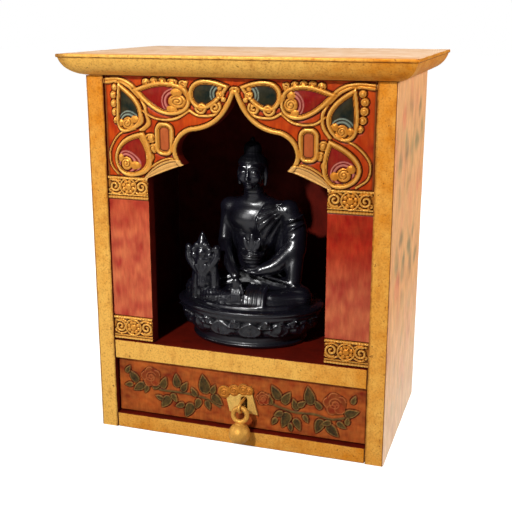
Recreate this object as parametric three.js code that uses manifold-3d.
// Household altar cabinet: a gilt wooden box with a carved, cusped arch board, a drawer with a drop pull,
// and a dark cast figure seated on a lotus base in the niche.
// Millimetres, +Z up, front towards -Y. The origin is under the middle of the cabinet, on its underside.

import * as THREE from "three";
import { mergeVertices } from "three/addons/utils/BufferGeometryUtils.js";
import Module from "manifold-3d";

const wasm = await Module();
wasm.setup();

// Driving dimensions of the carcass
const BODY_WIDTH = 210;
const BODY_DEPTH = 128;
const BODY_HEIGHT = 255;
const SIDE_THICKNESS = 12.7;
const BOTTOM_THICKNESS = 11.4;
const SHELF_UNDERSIDE = 54.2;
const SHELF_THICKNESS = 14.2;
const BACK_THICKNESS = 6;
const JOINT_GAP = 0.3;
const INNER_HALF = BODY_WIDTH / 2 - SIDE_THICKNESS;
const FRONT = -BODY_DEPTH / 2;
const SHELF_TOP = SHELF_UNDERSIDE + SHELF_THICKNESS;

// Drop pull: a ring and a ball that hang on a wire staple
const PULL_X = 5.5;
const PULL_AXIS_HEIGHT = 31.3;
const PULL_AXIS_OUT = 5.6;
const RING_RADIUS = 5;
const RING_WIRE = 1.7;
const BALL_RADIUS = 7.5;
const BALL_DROP = 18.2;
const BALL_CLEARANCE = 0.7;
const PULL_TILT = Math.asin((BALL_RADIUS + BALL_CLEARANCE - PULL_AXIS_OUT) / BALL_DROP);
const PULL_REACH = 2 * BALL_RADIUS + BALL_CLEARANCE;

// Cornice: it reaches as far behind the body as the pull reaches in front of it
const CORNICE_HEIGHT = 14;
const CORNICE_SIDE = 13.6;
const CORNICE_FRONT = 14.5;
const CORNICE_REAR = PULL_REACH;
const CORNICE_FILLET = 2.2;
const CORNICE_QUIRK = 0.9;
const CORNICE_BULGE = 2.3;
const CORNICE_STEPS = 8;

// Arch board: ground face set back, relief standing up to the front of the frame
const BOARD_SETBACK = 1.8;
const BOARD_THICKNESS = 8.7;
const RELIEF = 1.6;
const ROOT = 0.3;
const PILASTER_INNER = 62.4;
const ARCH_APEX = 244.3;
const ARCH_SPRING = 187;
const EDGE_BAND = 3;
const EDGE_INSET = 0.25;
const CUSP_BAND = 6;
const CAPITAL_LOW = 171.5;
const BASE_HIGH = 86.5;

// Drawer
const DRAWER_SETBACK = 4;
const DRAWER_GAP = 1;
const DRAWER_FRONT_THICKNESS = 10;
const DRAWER_LENGTH = 112;
const DRAWER_WALL = 6;
const DRAWER_WALL_TOP = 48;
const DRAWER_FLOOR = 4;
const DRAWER_FLOOR_HEIGHT = 14;
const VINE_RELIEF = 0.5;

// Pull plate and staple
const PLATE_THICKNESS = 1.2;
const CREST_THICKNESS = 2.4;
const PLATE_TURN = THREE.MathUtils.degToRad(12.5);
const STAPLE_HALF = 3.2;
const STAPLE_WIRE = 1;
const STAPLE_DEPTH = 7;

// Figure: x from the middle of the cabinet, y from the middle of its base, z from the shelf
const FIGURE_Y = -22.5;
const BODY_X = -3;
const SEAT = 27;
const PETALS = 14;
const PETAL_HALF = [4.6, 8.8, 6];
const PETAL_HEIGHT = 15;
const PETAL_RING = [45, 33];
const PLANT_X = -33;
const PLANT_Y = -15.5;
const HEAD_Y = 5;
const HEAD_CENTRE = 120;

// Materials

function material(color, roughness, metalness) {
  return new THREE.MeshStandardMaterial({ color, roughness, metalness });
}

const GILT = material(0xd39a35, 0.5, 0.3);
const SIDE_PAINT = material(0xd8935a, 0.6, 0);
const CARVING_PAINT = material(0xc4541f, 0.5, 0.1);
const DRAWER_PAINT = material(0xa9481f, 0.5, 0);
const INNER_PAINT = material(0x4a0f0a, 0.7, 0);
const BARE_WOOD = material(0xa8794a, 0.8, 0);
const BRASS = material(0xc9a04c, 0.4, 0.9);
const DARK_RESIN = material(0x16182a, 0.35, 0);

// Solids: joining and cutting closed meshes

function toSolid(geometry) {
  const bare = geometry.clone();
  bare.deleteAttribute("normal");
  bare.deleteAttribute("uv");
  const merged = mergeVertices(bare, 1e-4);
  const vertProperties = new Float32Array(merged.attributes.position.array);
  const triVerts = new Uint32Array(merged.index.array);
  return new wasm.Manifold(new wasm.Mesh({ numProp: 3, vertProperties, triVerts }));
}

function toGeometry(solid) {
  const mesh = solid.getMesh();
  const geometry = new THREE.BufferGeometry();
  geometry.setAttribute("position", new THREE.BufferAttribute(new Float32Array(mesh.vertProperties), 3));
  geometry.setIndex(new THREE.BufferAttribute(new Uint32Array(mesh.triVerts), 1));
  geometry.computeVertexNormals();
  return geometry;
}

function fuse(geometries) {
  return geometries.map(toSolid).reduce((whole, piece) => whole.add(piece));
}

function cut(solid, geometries) {
  return geometries.map(toSolid).reduce((whole, piece) => whole.subtract(piece), solid);
}

// A closed surface through a stack of equal rings of points, with flat ends

function loft(rings) {
  const count = rings[0].length;
  const index = [];
  for (let ring = 0; ring + 1 < rings.length; ring++) {
    for (let k = 0; k < count; k++) {
      const a = ring * count + k;
      const b = ring * count + ((k + 1) % count);
      index.push(a, b, b + count, a, b + count, a + count);
    }
  }
  const last = (rings.length - 1) * count;
  for (let k = 1; k + 1 < count; k++) {
    index.push(0, k + 1, k);
    index.push(last, last + k, last + k + 1);
  }
  const geometry = new THREE.BufferGeometry().setFromPoints(rings.flat());
  geometry.setIndex(index);
  return geometry;
}

function ovalRing(cx, cy, z, halfX, halfY, count) {
  return Array.from({ length: count }, (_, k) => {
    const angle = (2 * Math.PI * k) / count;
    return new THREE.Vector3(cx + halfX * Math.cos(angle), cy + halfY * Math.sin(angle), z);
  });
}

// A pointed bud or petal with eight faces

function bud(half) {
  return new THREE.OctahedronGeometry(1, 0).scale(...half);
}

// A rounded limb: rings along a smooth path, with a domed end on each side

function limb(path, radii, sides = 6, steps = 4) {
  const curve = new THREE.CatmullRomCurve3(path.map((p) => new THREE.Vector3(...p)));
  const widths = new THREE.SplineCurve(radii.map((r, k) => new THREE.Vector2(k, r)));
  const start = curve.getTangent(0);
  const end = curve.getTangent(1);
  const side = new THREE.Vector3(0, 1, 0).cross(start).normalize();
  const rings = [];
  const addRing = (centre, tangent, radius) => {
    const up = new THREE.Vector3().crossVectors(tangent, side).normalize();
    const across = new THREE.Vector3().crossVectors(up, tangent).normalize();
    rings.push(Array.from({ length: sides }, (_, k) => {
      const angle = (2 * Math.PI * k) / sides;
      return centre.clone()
        .addScaledVector(across, radius * Math.cos(angle))
        .addScaledVector(up, radius * Math.sin(angle));
    }));
  };
  const first = radii[0];
  const final = radii[radii.length - 1];
  addRing(curve.getPoint(0).addScaledVector(start, -0.7 * first), start, 0.6 * first);
  for (let k = 0; k <= steps; k++) {
    addRing(curve.getPoint(k / steps), curve.getTangent(k / steps), widths.getPoint(k / steps).y);
  }
  addRing(curve.getPoint(1).addScaledVector(end, 0.7 * final), end, 0.6 * final);
  return loft(rings);
}

function ball(centre, half, across = 7, high = 5) {
  return new THREE.SphereGeometry(1, across, high)
    .rotateX(Math.PI / 2)
    .scale(...half)
    .translate(...centre);
}

function bar(width, depth, height, x, y, z) {
  return new THREE.BoxGeometry(width, depth, height).translate(x, y, z);
}

// Front-view shapes: x to the right, y up, extruded towards the viewer

function plank(outline, depth, start = 0, holes = []) {
  const shape = new THREE.Shape(outline);
  shape.holes = holes.map((hole) => new THREE.Path(hole));
  return new THREE.ExtrudeGeometry(shape, { depth, bevelEnabled: false }).translate(0, 0, start);
}

function point(x, y) {
  return new THREE.Vector2(x, y);
}

function mirrored(outline) {
  return outline.map((p) => point(-p.x, p.y));
}

function disc(centre, radius, steps = 8) {
  return new THREE.EllipseCurve(centre.x, centre.y, radius, radius).getPoints(steps).slice(0, -1);
}

// A strip along a line of points, from right of it to left of it, its width scaled along its length by swell

function ribbon(points, left, right, swell = () => 1) {
  const last = points.length - 1;
  const sideAt = (offset) => points.map((p, k) => {
    const ahead = points[Math.min(k + 1, last)].clone().sub(points[Math.max(k - 1, 0)]).normalize();
    const reach = offset * swell(k / last);
    return point(p.x - ahead.y * reach, p.y + ahead.x * reach);
  });
  return [...sideAt(-right), ...sideAt(left).reverse()];
}

// A drop with a pointed tip and a round end, drawn in by inset, its middle pushed sideways by bend

const TEARDROP_PEAK = 0.77;
const TIP_INSET = 2;

function teardrop({ tip, end, width, bend = 0 }, inset = 0, steps = 10) {
  const along = tip.clone().sub(end);
  const half = (along.length() - (1 + TIP_INSET) * inset) / 2;
  along.normalize();
  const centre = end.clone().addScaledVector(along, inset + half);
  const reach = (width / 2 - inset) / TEARDROP_PEAK;
  return Array.from({ length: steps }, (_, k) => {
    const angle = (2 * Math.PI * k) / steps;
    const u = half * Math.cos(angle);
    const v = reach * Math.sin(angle) * Math.sin(angle / 2) + bend * Math.sin(angle) ** 2;
    return point(centre.x + along.x * u - along.y * v, centre.y + along.y * u + along.x * v);
  });
}

// A spiral strip that winds in towards its centre

function curl(centre, radius, start, turns, width, steps = 5) {
  const sideAt = (offset) => Array.from({ length: steps + 1 }, (_, k) => {
    const t = k / steps;
    const angle = start + 2 * Math.PI * turns * t;
    const reach = radius * (1 - 0.72 * t) + offset * (1 - 0.4 * t);
    return point(centre.x + reach * Math.cos(angle), centre.y + reach * Math.sin(angle));
  });
  return [...sideAt(width / 2), ...sideAt(-width / 2).reverse()];
}

function roundedFrame(centre, halfWidth, halfHeight, radius) {
  const frame = new THREE.Path();
  const corners = [[1, -1, -90], [1, 1, 0], [-1, 1, 90], [-1, -1, 180]];
  corners.forEach(([sx, sy, degrees]) => {
    const from = THREE.MathUtils.degToRad(degrees);
    const x = centre.x + sx * (halfWidth - radius);
    const y = centre.y + sy * (halfHeight - radius);
    frame.absarc(x, y, radius, from, from + Math.PI / 2);
  });
  return frame.getPoints(3);
}

// Arch board: half of the arch's edge, from the apex down to the pilaster

function archCurves() {
  const ogee = new THREE.CubicBezierCurve(
    point(0, ARCH_APEX), point(4.5, 231.5), point(13, 221.5), point(29, 219.7));
  const lobe = new THREE.CubicBezierCurve(
    point(29, 219.7), point(37, 218.8), point(47, 207), point(35.6, 197.3));
  const cusp = new THREE.CubicBezierCurve(
    point(35.6, 197.3), point(42, 195.5), point(52, 191.5), point(PILASTER_INNER, ARCH_SPRING));
  const upper = [...ogee.getPoints(7), ...lobe.getPoints(8).slice(1)];
  return { upper, lower: cusp.getPoints(5) };
}

function boardOutline() {
  const { upper, lower } = archCurves();
  const right = [...upper, ...lower.slice(1), point(PILASTER_INNER, SHELF_TOP + JOINT_GAP)];
  const half = INNER_HALF - JOINT_GAP;
  const top = BODY_HEIGHT - JOINT_GAP;
  const foot = SHELF_TOP + JOINT_GAP;
  return [
    point(half, foot), point(half, top), point(-half, top), point(-half, foot),
    ...mirrored(right).reverse(), ...right.slice(1),
  ];
}

// Scrollwork of one spandrel: drops with a raised rim and a curl at the round end

const DROP_RIM = 3;
const DROPS = [
  { tip: point(66.5, 246), end: point(30.5, 238), width: 21.5,
    curl: point(38, 238.6), size: 4.6, from: 1.2 },
  { tip: point(79, 250.5), end: point(70.5, 217.6), width: 21, bend: 3,
    curl: point(71.4, 224), size: 3.9, from: -0.6 },
  { tip: point(62.5, 218), end: point(75.5, 188.8), width: 25,
    curl: point(72, 197), size: 4.2, from: 2.6 },
  { tip: point(3.6, 249.6), end: point(31, 241), width: 19,
    curl: point(22.8, 235.6), size: 3.6, from: 3.4 },
];
const BEADS = [
  [0.9, 246.8, 2.6], [40, 251.2, 2.7], [45.6, 251.6, 2.8], [51.4, 251.6, 2.8], [57.2, 250.8, 2.7],
  [59, 214, 3.3], [57, 207.6, 3.2], [60.4, 201.4, 3],
];
const WINDOW = { centre: point(49.4, 214), halfWidth: 6.6, halfHeight: 11, radius: 5.6, rim: 3 };
const STEM = [point(91, 251.2), point(80, 251.9), point(70, 249.2), point(62, 242)];
const CURL_TURNS = 1.2;
const CURL_WIDTH = 1.9;

function spandrelShapes() {
  const { upper, lower } = archCurves();
  const stem = new THREE.SplineCurve(STEM).getPoints(7);
  return [
    { outline: ribbon(upper, EDGE_BAND, -EDGE_INSET) },
    { outline: ribbon(lower, CUSP_BAND, -EDGE_INSET, (t) => 0.3 + 0.7 * Math.sin(Math.PI * t)) },
    { outline: ribbon(stem, 2.1, 2.1) },
    ...BEADS.map(([x, y, r]) => ({ outline: disc(point(x, y), r, 6) })),
    ...DROPS.map((d) => ({ outline: curl(d.curl, d.size, d.from, CURL_TURNS, CURL_WIDTH) })),
    ...DROPS.map((d) => ({
      outline: teardrop(d),
      hole: teardrop(d, DROP_RIM),
    })),
    {
      outline: roundedFrame(WINDOW.centre, WINDOW.halfWidth, WINDOW.halfHeight, WINDOW.radius),
      hole: roundedFrame(WINDOW.centre, WINDOW.halfWidth - WINDOW.rim, WINDOW.halfHeight - WINDOW.rim, 2.4),
    },
  ];
}

// Carved bands at the head and foot of a pilaster: two fillets, a rosette and a scroll on each side of it

const BAND_FILLET = 1.8;
const ROSETTE_RADIUS = 5.4;
const ROSETTE_HEART = 2.6;
const BAND_CURL = 4.2;
const BAND_CURL_X = 9.4;

function bandShapes(low, high) {
  const inner = PILASTER_INNER + 0.4;
  const outer = INNER_HALF - 0.9;
  const middle = point((inner + outer) / 2, (low + high) / 2);
  const strip = (bottom) => ({
    outline: [
      point(inner, bottom), point(outer, bottom),
      point(outer, bottom + BAND_FILLET), point(inner, bottom + BAND_FILLET),
    ],
  });
  const scrolls = [-1, 1].map((side) => {
    const centre = point(middle.x + side * BAND_CURL_X, middle.y);
    return { outline: curl(centre, BAND_CURL, side * 0.6, side * CURL_TURNS, CURL_WIDTH) };
  });
  return [
    strip(low + 0.4),
    strip(high - 0.4 - BAND_FILLET),
    { outline: disc(middle, ROSETTE_RADIUS), hole: disc(middle, ROSETTE_HEART + 0.8) },
    { outline: disc(middle, ROSETTE_HEART, 6) },
    ...scrolls,
  ];
}

function carve(shapes) {
  return shapes.flatMap(({ outline, hole }) => [1, -1].map((side) => {
    const place = (points) => (side > 0 ? points : mirrored(points).reverse());
    return plank(place(outline), RELIEF + ROOT, BOARD_THICKNESS - ROOT, hole ? [place(hole)] : []);
  }));
}

function archBoard() {
  const capital = bandShapes(CAPITAL_LOW, ARCH_SPRING + 0.4);
  const foot = bandShapes(SHELF_TOP + 0.6, BASE_HIGH);
  return fuse([plank(boardOutline(), BOARD_THICKNESS), ...carve([...spandrelShapes(), ...capital, ...foot])]);
}

// Cornice: rectangles stacked up the moulding's profile

function corniceBoard() {
  const rise = CORNICE_HEIGHT - CORNICE_FILLET;
  const profile = Array.from({ length: CORNICE_STEPS + 1 }, (_, k) => {
    const t = k / CORNICE_STEPS;
    const bulge = (4 * t * (1 - t) * CORNICE_BULGE) / CORNICE_FRONT;
    return [t + bulge, rise * t - bulge * CORNICE_FRONT * 0.8];
  });
  const lip = profile.map(([out, up]) => [out * (1 - CORNICE_QUIRK / CORNICE_FRONT), up]);
  lip.push([1, rise], [1, CORNICE_HEIGHT]);
  return loft(lip.map(([out, up]) => {
    const x = BODY_WIDTH / 2 + CORNICE_SIDE * out;
    const front = FRONT - CORNICE_FRONT * out;
    const rear = -FRONT + CORNICE_REAR * out;
    const z = BODY_HEIGHT + Math.max(up, 0);
    return [[-x, front], [x, front], [x, rear], [-x, rear]].map(([px, py]) => new THREE.Vector3(px, py, z));
  }));
}

// Drawer front with a vine in low relief, bored for the staple's legs

const LEAVES = [
  [-80, 40, 130, 11], [-76, 32, 215, 11], [-56, 38, 70, 10], [-46, 41, 95, 11], [-25, 41, 100, 15],
  [-55, 23, 235, 12], [-37, 19, 245, 13], [-15, 30, -40, 11],
  [28, 42, 120, 12], [36, 39, 60, 11], [52, 43, 100, 14], [35, 22, 250, 13], [44, 20, -65, 10],
  [59, 21, 250, 12], [69, 19, -45, 12], [82, 34, 20, 11],
];
const ROSES = [[-66, 41, 7], [70, 39, 7.5], [19, 36, 4.5]];
const STEMS = [
  [point(-72, 36), point(-58, 32), point(-40, 32), point(-24, 30), point(-13, 25)],
  [point(17, 36), point(30, 31.5), point(42, 29), point(56, 29.5), point(68, 27.5), point(82, 31.5)],
];
const LEAF_SLENDER = 0.5;
const STEM_HALF = 0.9;

function drawerFront() {
  const half = INNER_HALF - DRAWER_GAP;
  const low = BOTTOM_THICKNESS + DRAWER_GAP;
  const high = SHELF_UNDERSIDE - DRAWER_GAP;
  const panel = plank([point(-half, low), point(half, low), point(half, high), point(-half, high)],
    DRAWER_FRONT_THICKNESS);
  const leaves = LEAVES.map(([x, y, degrees, length]) => {
    const turn = THREE.MathUtils.degToRad(degrees);
    const reach = point(Math.cos(turn), Math.sin(turn)).multiplyScalar(length / 2);
    const leaf = { tip: point(x, y).add(reach), end: point(x, y).sub(reach), width: length * LEAF_SLENDER };
    return teardrop(leaf, 0, 7);
  });
  const roses = ROSES.map(([x, y, r]) => curl(point(x, y), r, 0.5, 1.5, r * 0.36, 9));
  const stems = STEMS.map((line) => ribbon(new THREE.SplineCurve(line).getPoints(7), STEM_HALF, STEM_HALF));
  const raised = [...leaves, ...roses, ...stems].map((outline) =>
    plank(outline, VINE_RELIEF + ROOT, DRAWER_FRONT_THICKNESS - ROOT));
  const bores = [1, -1].map((side) => new THREE.CylinderGeometry(
    STAPLE_WIRE + JOINT_GAP, STAPLE_WIRE + JOINT_GAP, STAPLE_DEPTH + 2, 8)
    .rotateX(Math.PI / 2)
    .translate(PULL_X, PULL_AXIS_HEIGHT + side * STAPLE_HALF,
      DRAWER_FRONT_THICKNESS - (STAPLE_DEPTH + JOINT_GAP) + (STAPLE_DEPTH + 2) / 2));
  return cut(fuse([panel, ...raised]), bores);
}

// Pull plate: a tilted plate with a lobed, thicker crest and a slot for the staple

const PLATE_TOP = point(1.5, 37.6);
const PLATE_CORNERS = [[-10, 0], [-9.7, -12.3], [10.8, -16.6], [10, 0]];
const CREST_LOBES = [[-10.6, 2.6, 4.6], [-3, 3, 4.2], [4, 3, 4.2], [8, 1.8, 3.4]];
const SLOT_HALF = [2.3, 4.9];

function pullPlate() {
  const place = ([u, v]) => point(u, v).rotateAround(point(0, 0), PLATE_TURN).add(PLATE_TOP);
  const plate = plank(PLATE_CORNERS.map(place), PLATE_THICKNESS);
  const crest = CREST_LOBES.map(([u, v, r]) => plank(disc(place([u, v]), r, 8), CREST_THICKNESS));
  const slot = plank(roundedFrame(point(PULL_X, PULL_AXIS_HEIGHT), ...SLOT_HALF, 2.2), 4 * PLATE_THICKNESS,
    -PLATE_THICKNESS);
  return cut(fuse([plate, ...crest]), [slot]);
}

// Staple: a wire loop in the upright plane across the front, its two legs running back into the drawer front

function pullStaple() {
  const back = FRONT + DRAWER_SETBACK + STAPLE_DEPTH;
  const axisY = FRONT - PULL_AXIS_OUT;
  const at = (y, z) => new THREE.Vector3(PULL_X, y, PULL_AXIS_HEIGHT + z);
  const turn = Array.from({ length: 9 }, (_, k) => {
    const angle = (Math.PI * k) / 8;
    return at(axisY - STAPLE_HALF * Math.sin(angle), STAPLE_HALF * Math.cos(angle));
  });
  const line = [at(back, STAPLE_HALF), ...turn, at(back, -STAPLE_HALF)];
  const rings = line.map((centre, k) => {
    const before = line[Math.max(k - 1, 0)];
    const after = line[Math.min(k + 1, line.length - 1)];
    const ahead = after.clone().sub(before).normalize();
    const across = new THREE.Vector3(1, 0, 0);
    const up = new THREE.Vector3().crossVectors(ahead, across);
    return Array.from({ length: 8 }, (_, side) => {
      const angle = (2 * Math.PI * side) / 8;
      return centre.clone()
        .addScaledVector(across, STAPLE_WIRE * Math.cos(angle))
        .addScaledVector(up, STAPLE_WIRE * Math.sin(angle));
    });
  });
  return loft(rings);
}

// Drop pull, about its own pivot: the ring's upper wire is the hinge

function dropPull() {
  const ring = new THREE.TorusGeometry(RING_RADIUS, RING_WIRE, 6, 14)
    .rotateX(Math.PI / 2)
    .translate(0, 0, -RING_RADIUS);
  const profile = [
    [0, BALL_RADIUS], [2.6, BALL_RADIUS - 0.2], [3, BALL_RADIUS - 1.2],
    ...Array.from({ length: 7 }, (_, k) => {
      const angle = THREE.MathUtils.degToRad(52 - 20 * k);
      return [BALL_RADIUS * Math.cos(angle), BALL_RADIUS * Math.sin(angle)];
    }),
    [0, -BALL_RADIUS],
  ].reverse();
  const drop = new THREE.LatheGeometry(profile.map(([r, z]) => point(r, z)), 11)
    .rotateX(Math.PI / 2)
    .translate(0, 0, -BALL_DROP);
  return fuse([ring, drop]);
}

// Figure: base, a ring of petals between a plain foot and a flaring collar

// Each ring of the base: its height, half width and half depth
const BASE_RINGS = [
  [0, 41.5, 31], [2.4, 42.5, 31.8], [3.6, 40.5, 30.2], [8, 40.5, 30.2], [10, 43.5, 32],
  [19, 47.5, 33.2], [21, 51.5, 34.6], [25.4, 54, 35.8], [SEAT, 53.5, 35.4], [SEAT + 1, 50, 33],
];

function lotusBase() {
  const core = loft(BASE_RINGS.map(([z, halfX, halfY]) => ovalRing(BODY_X, 0, z, halfX, halfY, 16)));
  const petals = Array.from({ length: PETALS }, (_, k) => {
    const angle = (2 * Math.PI * k) / PETALS;
    const x = BODY_X + PETAL_RING[0] * Math.cos(angle);
    const y = PETAL_RING[1] * Math.sin(angle);
    return bud(PETAL_HALF).rotateZ(angle).translate(x, y, PETAL_HEIGHT);
  });
  return [core, ...petals];
}

// Figure: torso as ovals at a height, with half width, half depth and place from front to back

const TORSO = [
  [31, 17, 13, 8], [46, 15, 11.5, 10], [60, 13.5, 10.5, 12], [72, 16, 11.5, 12.5], [84, 20, 12.5, 12.5],
  [92, 22.5, 11.5, 13], [97, 18, 9.5, 13], [100, 9, 8, 12], [103, 7, 7, 10.5], [111, 6.6, 6.8, 7.5],
];

function chestFront(x, z) {
  const above = TORSO.findIndex(([height]) => height > z);
  const [low, high] = [TORSO[above - 1], TORSO[above]];
  const t = (z - low[0]) / (high[0] - low[0]);
  const [halfX, halfY, y] = [1, 2, 3].map((k) => low[k] + (high[k] - low[k]) * t);
  return y - halfY * Math.sqrt(Math.max(1 - ((x - BODY_X) / halfX) ** 2, 0));
}

// Figure: crossed legs, arms, hands, robe and bowl

function legs() {
  const at = (side, across, y, above) => [BODY_X + side * across, y, SEAT + above];
  const thighs = [1, -1].map((side) => limb(
    [at(side, 10, 8, 10), at(side, 26, 3, 8), at(side, 39, -5, 6)], [11, 9.4, 7.6], 6, 3));
  const shins = [1, -1].map((side) => limb(
    [at(side, 39, -6, 6), at(side, 20, -18, 5), at(side, -5, -21, 6)], [7.4, 6.4, 5], 6, 3));
  const lap = loft([[SEAT - 1, 44, 27], [SEAT + 4, 41, 25], [SEAT + 12, 24, 14]].map(
    ([z, halfX, halfY]) => ovalRing(BODY_X, -2, z, halfX, halfY, 10)));
  return [...thighs, ...shins, lap];
}

function arms() {
  const bareArm = limb(
    [[-22.5, 13, 91], [-24.5, 11.5, 78], [-25, 8, 66], [-17, -8, 57], [-7, -20, 49]],
    [6.5, 5.2, 5, 4.3, 3.4], 6, 6);
  const sleeveArm = limb(
    [[22, 13, 91], [27, 11.5, 78], [28, 7, 65], [17, -3, 54], [5, -8, 50]],
    [7, 8.4, 8, 6.2, 4], 6, 6);
  const sleeveDrape = limb([[28, 6, 64], [29.5, 1, 54], [30, -2, 44]], [7, 6.2, 5.4], 6, 3);
  const hands = [ball([2, -8, 50.5], [8, 6, 2.8]), ball([-4.5, -25, 41], [3.6, 3, 9])];
  return [bareArm, sleeveArm, sleeveDrape, ...hands];
}

const FOLDS = [[[16, 95], [9, 90], [1, 86]], [[17, 93], [9, 84], [1, 77]], [[17, 90], [11, 78], [4, 68]]];
const BOWL = [[0, 51.5], [5, 51.5], [4.4, 54.5], [7, 57], [6.4, 58.5], [8.5, 61], [8.3, 63.4], [0, 63.6]];
const BOWL_PLACE = [1, -7.5];

function robeAndBowl() {
  const folds = FOLDS.map((line) => limb(
    line.map(([x, z]) => [x, chestFront(x, z), z]), [1.5, 1.5, 1.3], 4, 3));
  const apron = [3, 8, 13].map((x) => bud([2.8, 3.4, 8.4]).rotateX(-0.5).translate(x, -22.5, SEAT + 10));
  const bowl = new THREE.LatheGeometry(BOWL.map(([r, z]) => point(r, z)), 9)
    .rotateX(Math.PI / 2)
    .translate(...BOWL_PLACE, 0);
  const sprig = [-1, 0, 1].map((side) => bud([2.6, 2.2, 8])
    .rotateY(0.45 * side)
    .translate(BOWL_PLACE[0] + 3.4 * side, BOWL_PLACE[1], 70 - 2.4 * Math.abs(side)));
  return [...folds, ...apron, bowl, ...sprig];
}

// Figure: head with long ears, a hair cap and a domed crown

function head() {
  const torso = loft(TORSO.map(([z, halfX, halfY, y]) => ovalRing(BODY_X, y, z, halfX, halfY, 12)));
  const skull = ball([BODY_X, HEAD_Y, HEAD_CENTRE], [9.4, 10.8, 12.4], 9, 6);
  const hair = ball([BODY_X, HEAD_Y + 1, HEAD_CENTRE + 4], [10.2, 11, 8.4], 10, 5);
  const crown = ball([BODY_X, HEAD_Y + 1, HEAD_CENTRE + 14.4], [6.6, 6.6, 6], 8, 5);
  const finial = bud([1.8, 1.8, 3]).translate(BODY_X, HEAD_Y + 1, HEAD_CENTRE + 20.4);
  const nose = bud([1.8, 2.2, 3.4]).translate(BODY_X, HEAD_Y - 10.4, HEAD_CENTRE - 1.5);
  const ears = [1, -1].map((side) =>
    ball([BODY_X + side * 9.4, HEAD_Y + 1.5, HEAD_CENTRE - 4.5], [1.5, 2.6, 7.5], 6, 5));
  return [torso, skull, hair, crown, finial, nose, ...ears];
}

// Figure: flowering plant on a draped stand beside the knee

function plant() {
  const at = (across, z) => [PLANT_X + across, PLANT_Y, z];
  const drapes = [-5.5, 1.5].map((across) => limb(
    [at(across, SEAT - 1), at(across, SEAT + 9), at(across * 0.8, SEAT + 20)], [4.8, 4.2, 3.8], 5, 3));
  const fallingDrape = limb([at(9, SEAT - 1), at(9, SEAT + 14), at(9, SEAT + 30)], [4.4, 4, 3.2], 5, 3);
  const pad = ball(at(1.5, SEAT), [13, 6.5, 5], 8, 5);
  const neck = limb([at(0, SEAT + 14), at(0, SEAT + 21), at(0, SEAT + 30)], [6, 5, 6], 7, 3);
  const flower = ball(at(0, 63.4), [8.8, 5.4, 9], 8, 5);
  const tip = bud([3.6, 3, 6]).translate(...at(0, 72.4));
  const sideLeaves = [1, -1].map((side) => limb(
    [at(side * 4, 51.5), at(side * 9, 57), at(side * 10.5, 65)], [3.6, 3.8, 2.6], 5, 3));
  return [...drapes, fallingDrape, pad, neck, flower, tip, ...sideLeaves];
}

// Assembly

const altar = new THREE.Group();

function add(name, geometry, finish, parent = altar) {
  const mesh = new THREE.Mesh(geometry, finish);
  mesh.name = name;
  parent.add(mesh);
  return mesh;
}

function faceForward(mesh, y) {
  mesh.rotation.x = Math.PI / 2;
  mesh.position.y = y;
  return mesh;
}

const innerWidth = 2 * (INNER_HALF - JOINT_GAP);
const innerDepth = BODY_DEPTH - BACK_THICKNESS - JOINT_GAP;
const innerY = FRONT + innerDepth / 2;
const sideX = BODY_WIDTH / 2 - SIDE_THICKNESS / 2;
const sideHeight = BODY_HEIGHT - JOINT_GAP;

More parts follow.
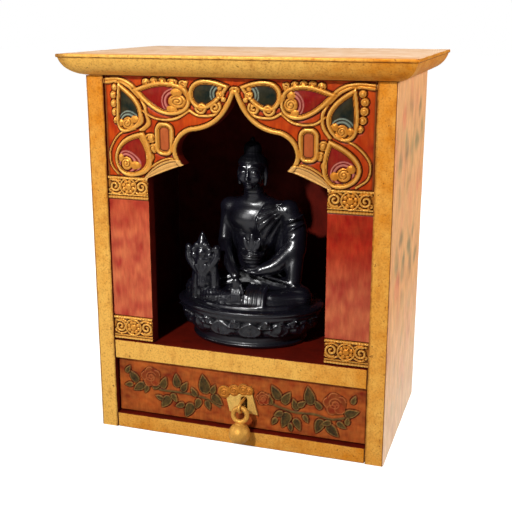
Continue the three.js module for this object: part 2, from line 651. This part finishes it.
add("left_side_board", bar(SIDE_THICKNESS, BODY_DEPTH, sideHeight, -sideX, 0, sideHeight / 2), SIDE_PAINT);
add("right_side_board", bar(SIDE_THICKNESS, BODY_DEPTH, sideHeight, sideX, 0, sideHeight / 2), SIDE_PAINT);
add("bottom_board", bar(innerWidth, innerDepth, BOTTOM_THICKNESS, 0, innerY, BOTTOM_THICKNESS / 2), GILT);
add("niche_shelf",
  bar(innerWidth, innerDepth, SHELF_THICKNESS, 0, innerY, SHELF_UNDERSIDE + SHELF_THICKNESS / 2), GILT);
add("back_panel",
  bar(innerWidth, BACK_THICKNESS, sideHeight, 0, -FRONT - BACK_THICKNESS / 2, sideHeight / 2), INNER_PAINT);
add("cornice_board", corniceBoard(), GILT);
faceForward(add("arch_board", toGeometry(archBoard()), CARVING_PAINT),
  FRONT + BOARD_SETBACK + BOARD_THICKNESS);

const drawer = new THREE.Group();
altar.add(drawer);
const drawerFace = FRONT + DRAWER_SETBACK;
const boxFront = drawerFace + DRAWER_FRONT_THICKNESS + JOINT_GAP;
const boxBack = drawerFace + DRAWER_LENGTH;
const wallLow = BOTTOM_THICKNESS + JOINT_GAP;
const wallHeight = DRAWER_WALL_TOP - wallLow;
const wallX = INNER_HALF - DRAWER_GAP - DRAWER_WALL / 2;
const wallLength = boxBack - boxFront;
const endWidth = 2 * (wallX - DRAWER_WALL / 2 - JOINT_GAP);
const floorLength = wallLength - DRAWER_WALL - JOINT_GAP;

faceForward(add("drawer_front", toGeometry(drawerFront()), DRAWER_PAINT, drawer),
  drawerFace + DRAWER_FRONT_THICKNESS);
for (const [name, side] of [["drawer_left_side", -1], ["drawer_right_side", 1]]) {
  add(name, bar(DRAWER_WALL, wallLength, wallHeight, side * wallX, boxFront + wallLength / 2,
    wallLow + wallHeight / 2), BARE_WOOD, drawer);
}
add("drawer_back", bar(endWidth, DRAWER_WALL, wallHeight, 0, boxBack - DRAWER_WALL / 2,
  wallLow + wallHeight / 2), BARE_WOOD, drawer);
add("drawer_bottom", bar(endWidth, floorLength, DRAWER_FLOOR, 0, boxFront + floorLength / 2,
  DRAWER_FLOOR_HEIGHT + DRAWER_FLOOR / 2), BARE_WOOD, drawer);
faceForward(add("pull_plate", toGeometry(pullPlate()), BRASS, drawer), drawerFace - VINE_RELIEF - JOINT_GAP);
add("pull_staple", pullStaple(), BRASS, drawer);

const drop = add("drop_pull", toGeometry(dropPull()), BRASS, drawer);
drop.position.set(PULL_X, FRONT - PULL_AXIS_OUT, PULL_AXIS_HEIGHT);
drop.rotation.x = -PULL_TILT;

const figureParts = [...lotusBase(), ...legs(), ...arms(), ...robeAndBowl(), ...head(), ...plant()];
const figure = add("seated_figure", toGeometry(fuse(figureParts)), DARK_RESIN);
figure.position.set(0, FIGURE_Y, SHELF_TOP + JOINT_GAP);

export default altar;
